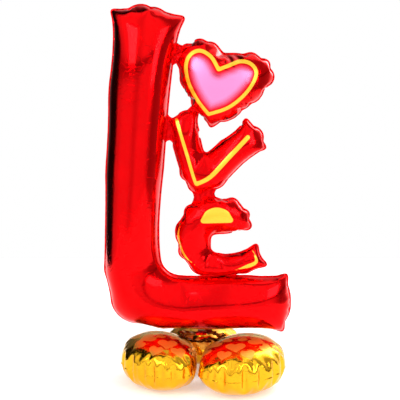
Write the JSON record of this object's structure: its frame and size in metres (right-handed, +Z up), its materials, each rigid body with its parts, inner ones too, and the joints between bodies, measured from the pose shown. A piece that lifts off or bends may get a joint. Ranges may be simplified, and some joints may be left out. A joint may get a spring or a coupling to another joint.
{
  "type": "standing letter and heart foil balloon",
  "caption": "Free-standing air-filled foil balloon: a tall letter L carrying a heart and two smaller letters, on a gold foil base of joined lobes.",
  "frame": {"origin": "centre of the balloon's outline on the floor, within a few millimetres, below the neck that joins the letters to the base", "axes": "+Z up, +X to the reader's right, +Y to the back; the letters' weld lies in the plane Y = 0"},
  "size_m": [0.7061, 0.5573, 1.4035],
  "materials": {
    "red_foil": "polished",
    "gold_foil": "polished",
    "valve_film": "satin"
  },
  "bodies": {
    "base": {"base_upper_sheet": "gold_foil", "base_lower_sheet": "gold_foil", "base_neck": "gold_foil", "base_fill_valve": "valve_film"},
    "base_tail": {"base_fill_tail": "gold_foil"},
    "letters": {"letter_l_front_sheet": "red_foil", "letter_l_back_sheet": "red_foil", "letter_v_front_sheet": "red_foil", "letter_v_back_sheet": "red_foil", "l_to_v_web": "red_foil", "letters_fill_tail": "red_foil", "letters_fill_valve": "valve_film"},
    "heart": {"heart_front_sheet": "red_foil", "heart_back_sheet": "red_foil", "l_to_heart_web": "red_foil", "heart_to_v_web": "red_foil"},
    "small_e": {"letter_e_front_sheet": "red_foil", "letter_e_back_sheet": "red_foil", "v_to_e_web": "red_foil", "e_to_l_web": "red_foil"}
  },
  "joints": [
    {"name": "neck_twist", "type": "hinge", "parent": "base", "child": "letters", "pos_m": [0.005, 0, 0.18], "axis": [0, 0, 1], "range_deg": [-15, 15], "stiffness_Nm_per_rad": 0.3},
    {"name": "heart_sway", "type": "hinge", "parent": "letters", "child": "heart", "pos_m": [-0.074, 0, 1.12], "axis": [-0.262, 0, 0.9651], "range_deg": [-12, 12], "stiffness_Nm_per_rad": 0.1},
    {"name": "e_sway", "type": "hinge", "parent": "letters", "child": "small_e", "pos_m": [0.0456, 0, 0.5545], "axis": [-0.2189, 0, 0.9757], "range_deg": [-12, 12], "stiffness_Nm_per_rad": 0.1},
    {"name": "base_tail_fold", "type": "hinge", "parent": "base", "child": "base_tail", "pos_m": [0.008, 0.285, 0.088], "axis": [1, 0, 0], "range_deg": [-8, 85]}
  ]
}
